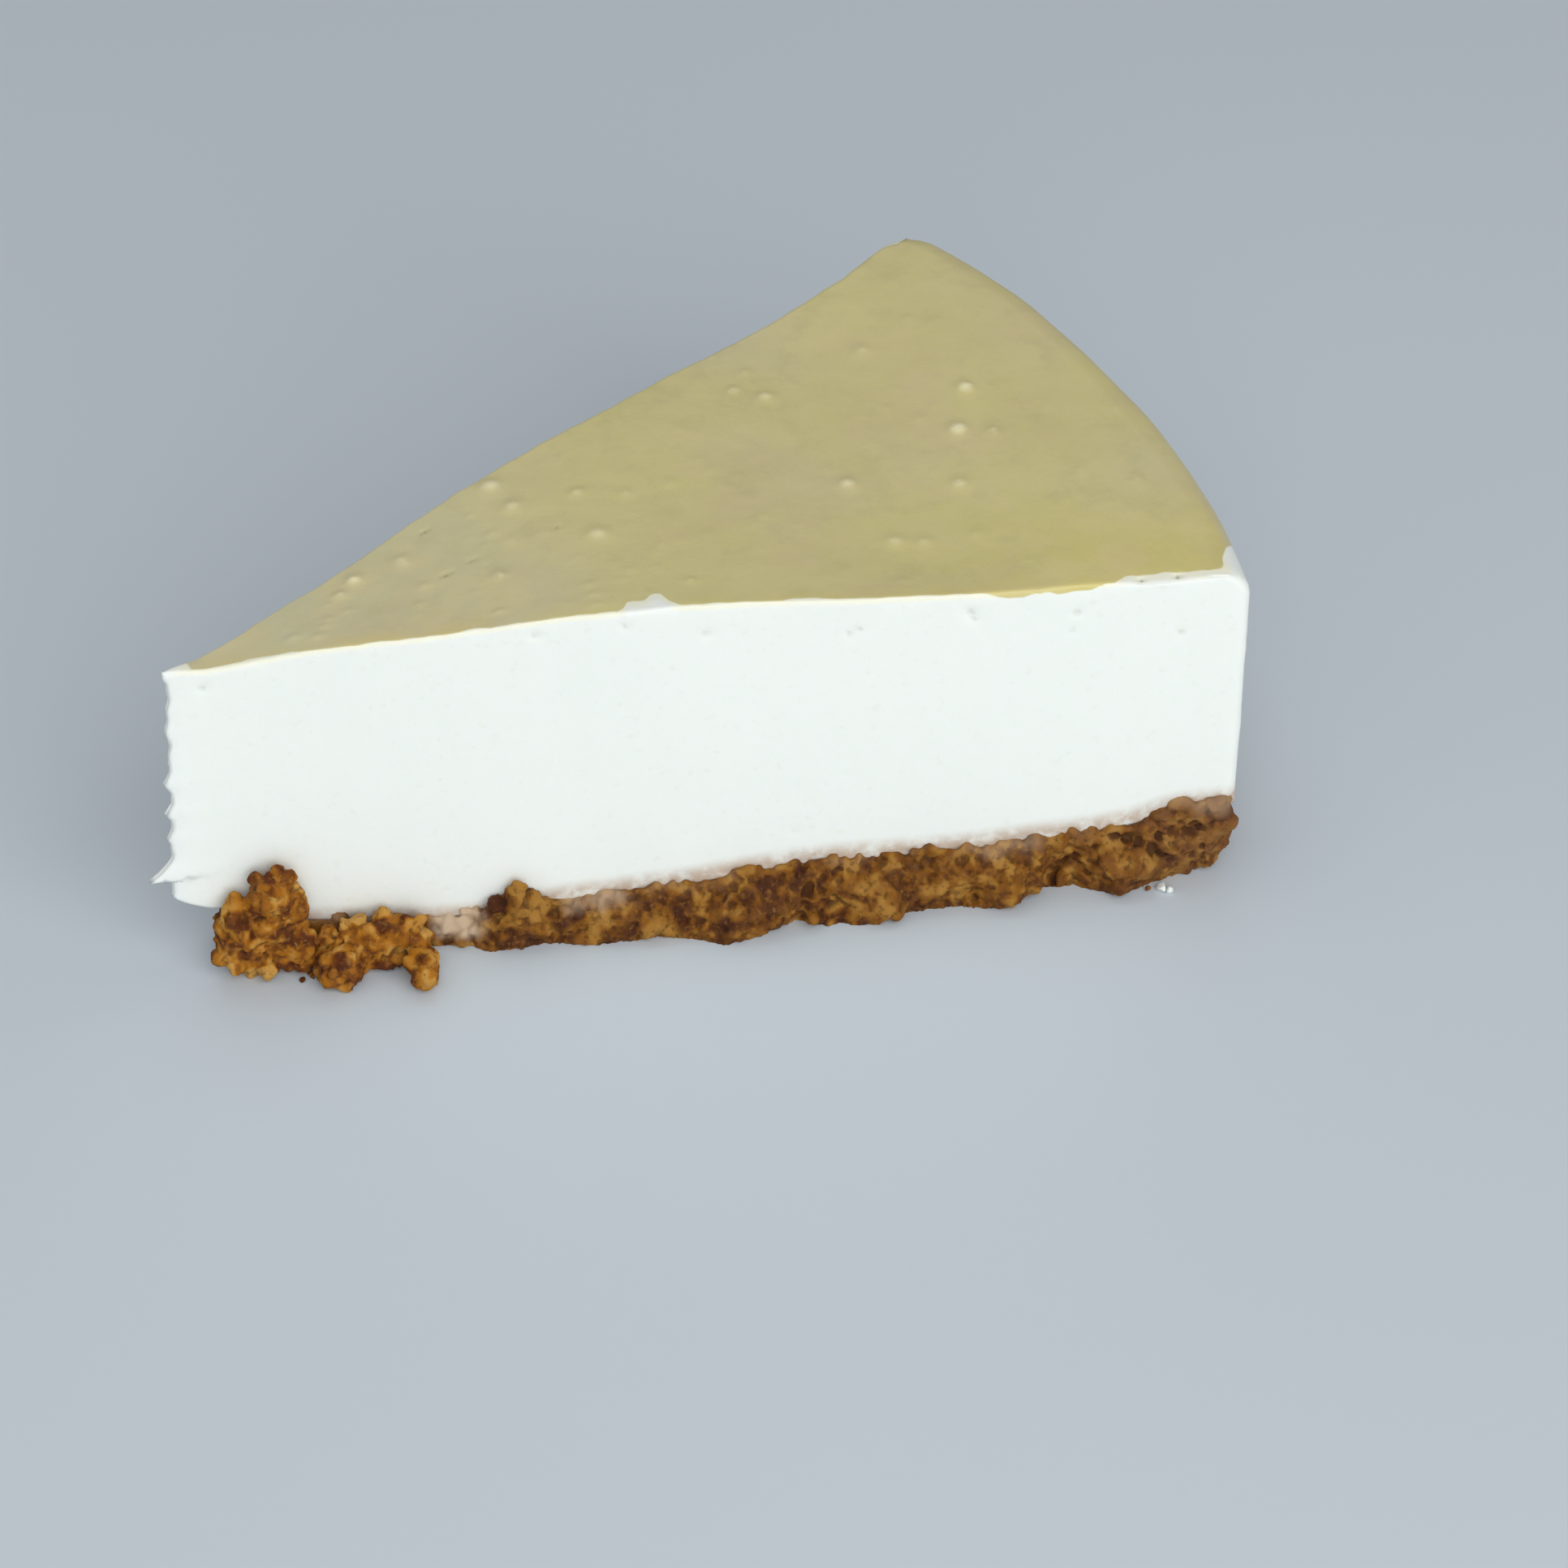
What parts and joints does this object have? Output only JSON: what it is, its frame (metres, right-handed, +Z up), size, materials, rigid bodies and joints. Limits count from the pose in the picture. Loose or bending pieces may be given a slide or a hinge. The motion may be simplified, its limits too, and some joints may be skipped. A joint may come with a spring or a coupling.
{
  "type": "slice of baked cheesecake",
  "caption": "Wedge of baked cheesecake: pale smooth filling with a baked top on a crumbly biscuit base, with two crumb chunks beside the tip.",
  "frame": {"origin": "middle of the slice's box, on the surface that the slice stands on", "axes": "+X along the middle of the wedge from its tip to its rim; +Y towards the hidden cut face, away from the shown one; +Z up"},
  "size_m": [0.1262, 0.0808, 0.0453],
  "materials": {
    "filling": "smooth set curd, soft sheen, with a thin yellow-beige baked skin on top",
    "crumb_base": "coarse brown biscuit crumb, dull",
    "loose_crumb": "coarse brown biscuit crumb, dull, slightly buttery"
  },
  "bodies": {
    "root": {"filling": "filling", "base": "crumb_base", "crumb_chunk_1": "loose_crumb", "crumb_chunk_2": "loose_crumb"}
  },
  "joints": []
}
